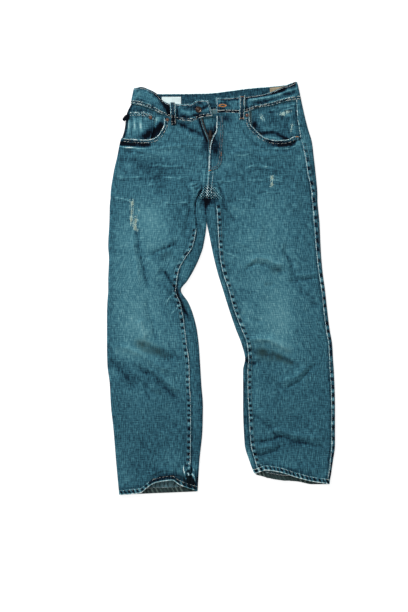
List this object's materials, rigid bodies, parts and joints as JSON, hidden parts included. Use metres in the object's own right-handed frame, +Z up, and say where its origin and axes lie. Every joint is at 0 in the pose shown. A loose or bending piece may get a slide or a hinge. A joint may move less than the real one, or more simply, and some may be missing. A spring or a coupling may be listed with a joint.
{
  "type": "ripped jeans",
  "caption": "Ripped and washed denim jeans lying flat, front up, with open waist button, half open zip, curled hems and turned inner seams.",
  "frame": {"origin": "on the surface the jeans lie on, under the middle of their outline", "axes": "+Y from the hems towards the waist, +X towards the wearer's left leg, +Z up out of the front"},
  "size_m": [0.57, 1.0319, 0.017],
  "materials": {
    "denim": "washed indigo twill, matte",
    "denim_dark": "less faded indigo twill, matte",
    "hem_denim": "roped and faded hem, matte",
    "zip_tape": "woven tape with metal teeth",
    "white_label": "plain woven label, no text",
    "tan_label": "plain tan twill label, no text",
    "bronze": "antique bronze, satin",
    "copper": "aged copper, satin"
  },
  "bodies": {
    "garment": {"front_panel_right": "denim", "front_panel_left": "denim", "back_panel_right": "denim", "back_panel_left": "denim", "yoke_right": "denim", "yoke_left": "denim", "back_pocket_right": "denim", "back_pocket_left": "denim", "waistband": "denim", "belt_loop_front_right": "denim", "belt_loop_front_left": "denim", "belt_loop_side_right": "denim", "belt_loop_side_left": "denim", "belt_loop_back": "denim", "coin_pocket": "denim", "pocket_facing_right": "denim_dark", "pocket_facing_left": "denim_dark", "side_tab": "denim_dark", "fly_shield": "denim_dark", "hem_right": "hem_denim", "hem_left": "hem_denim", "zip_tape_right": "zip_tape", "zip_tape_left": "zip_tape", "inner_label": "white_label", "tan_label": "tan_label", "zip_slider": "bronze", "waist_button": "bronze", "rivet_pocket_right": "copper", "rivet_pocket_left": "copper", "rivet_coin": "copper"},
    "zip_pull": {"zip_pull": "bronze"}
  },
  "joints": [
    {"name": "zip_pull_hinge", "type": "hinge", "parent": "garment", "child": "zip_pull", "pos_m": [-0.027, 0.3775, 0.0097], "axis": [1, 0, 0], "range_deg": [0, 150]}
  ]
}
